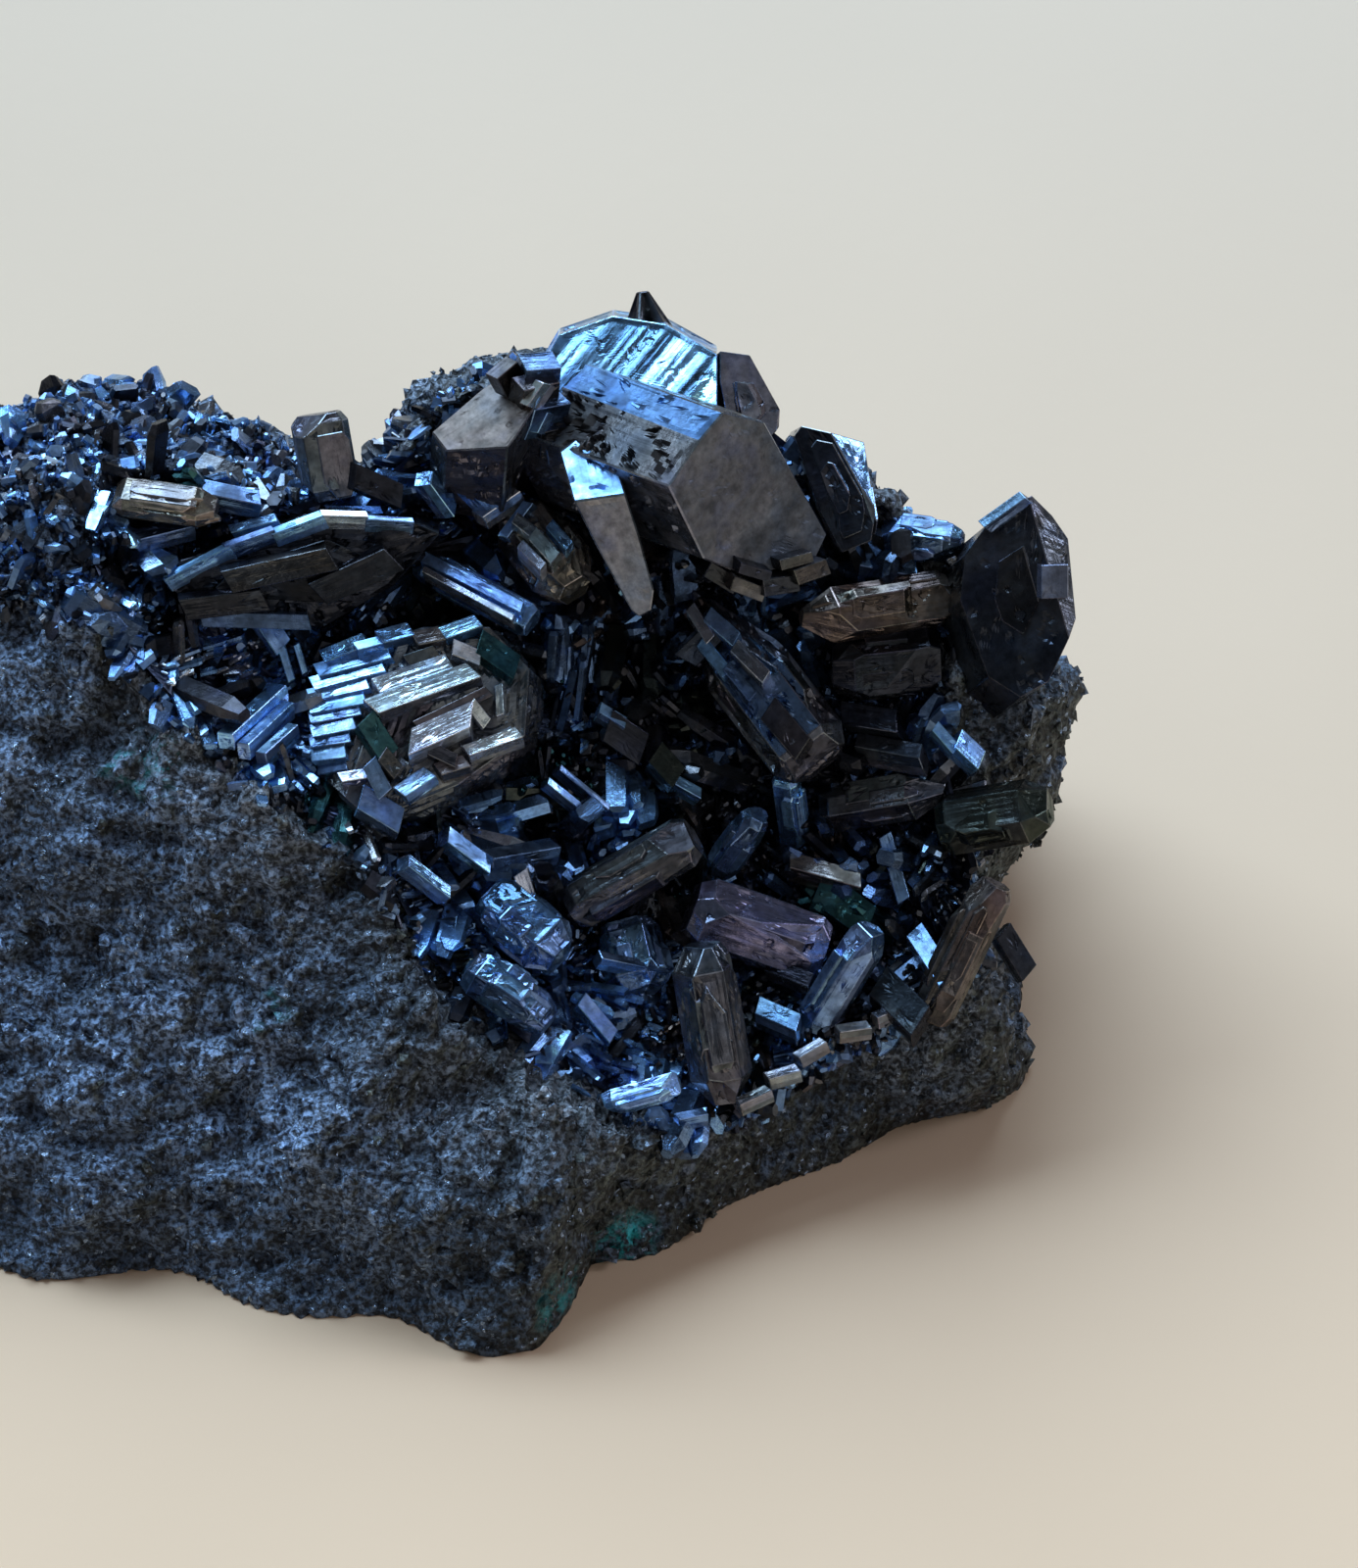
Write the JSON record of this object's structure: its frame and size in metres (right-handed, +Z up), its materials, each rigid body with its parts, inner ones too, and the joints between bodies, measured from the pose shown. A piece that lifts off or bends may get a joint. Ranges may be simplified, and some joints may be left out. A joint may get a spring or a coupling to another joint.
{
  "type": "chalcocite specimen",
  "caption": "Hand specimen of chalcocite: a dark granular block with an open vug of bladed, stubby and needle crystals, standing on a flat underside.",
  "frame": {"origin": "on the standing surface, under the middle of the specimen's box", "axes": "+X to the right across the display face, +Z up from the flat underside, -Y towards the viewer"},
  "size_m": [0.0976, 0.0604, 0.0518],
  "materials": {
    "matrix": "sooty granular break with fine sparkles",
    "crust": "druse of small lustrous crystals",
    "gunmetal_crystal": "metallic gunmetal, striated",
    "steel_crystal": "bright metallic with a steel blue tarnish",
    "bronze_crystal": "metallic with a brown tarnish"
  },
  "bodies": {
    "root": {"matrix": "matrix", "vug_crust": "crust", "main_crystal": "gunmetal_crystal", "stepped_crystal": "steel_crystal", "needle_bar": "steel_crystal", "faceted_knob": "bronze_crystal", "long_crystal": "gunmetal_crystal", "tan_blade": "bronze_crystal", "saddle_block": "steel_crystal", "fan_crystal": "steel_crystal", "back_block": "gunmetal_crystal", "right_plate": "gunmetal_crystal", "low_crystal": "steel_crystal", "horn_crystal": "gunmetal_crystal", "ledge_crystal": "bronze_crystal", "under_ledge": "gunmetal_crystal", "wedge_crystal": "gunmetal_crystal", "bright_bar": "steel_crystal", "upper_spear": "gunmetal_crystal", "right_spear": "bronze_crystal", "right_column": "bronze_crystal", "edge_prism": "steel_crystal", "pale_column": "gunmetal_crystal", "lavender_prism": "steel_crystal", "flat_bar": "steel_crystal", "barrel_crystal": "gunmetal_crystal", "little_prism": "steel_crystal", "left_nugget": "steel_crystal", "lamellar_nugget": "steel_crystal", "rim_nugget": "steel_crystal"}
  },
  "joints": []
}
